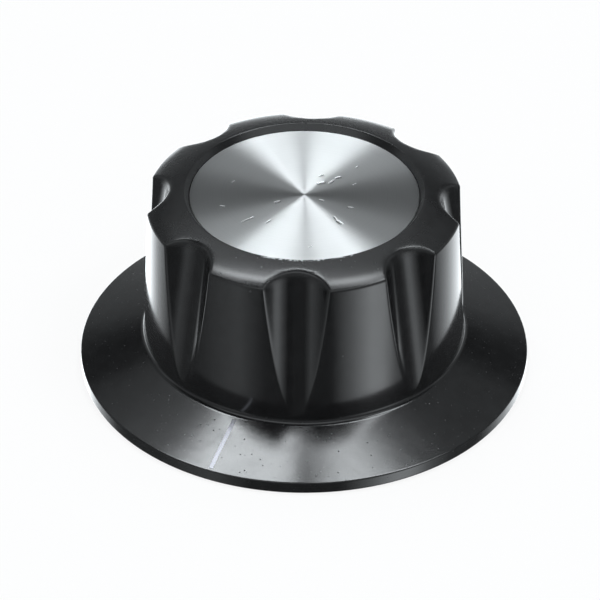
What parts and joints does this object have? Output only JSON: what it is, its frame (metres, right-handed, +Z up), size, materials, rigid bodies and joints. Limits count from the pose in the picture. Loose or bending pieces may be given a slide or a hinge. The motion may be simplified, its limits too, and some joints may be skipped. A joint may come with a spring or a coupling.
{
  "type": "temperature control knob",
  "caption": "Fluted black control knob with a conical skirt, a spun aluminium face disc and a pale index line, bored for a round shaft and clamped to it by a set screw.",
  "frame": {"origin": "centre of the rim's lower face, on the shaft's axis", "axes": "+Z up the shaft's axis to the crown, -Y towards the index line, +Y towards the set screw"},
  "size_m": [0.0446, 0.0444, 0.0198],
  "materials": {
    "phenolic": "glossy moulded black",
    "spun_aluminium": "spun, with concentric lathe lines",
    "index_paint": "paint fill",
    "brass": "turned",
    "screw_steel": "blackened"
  },
  "bodies": {
    "root": {"knob_body": "phenolic", "face_disc": "spun_aluminium", "index_line": "index_paint", "shaft_bush": "brass", "set_screw": "screw_steel"}
  },
  "joints": []
}
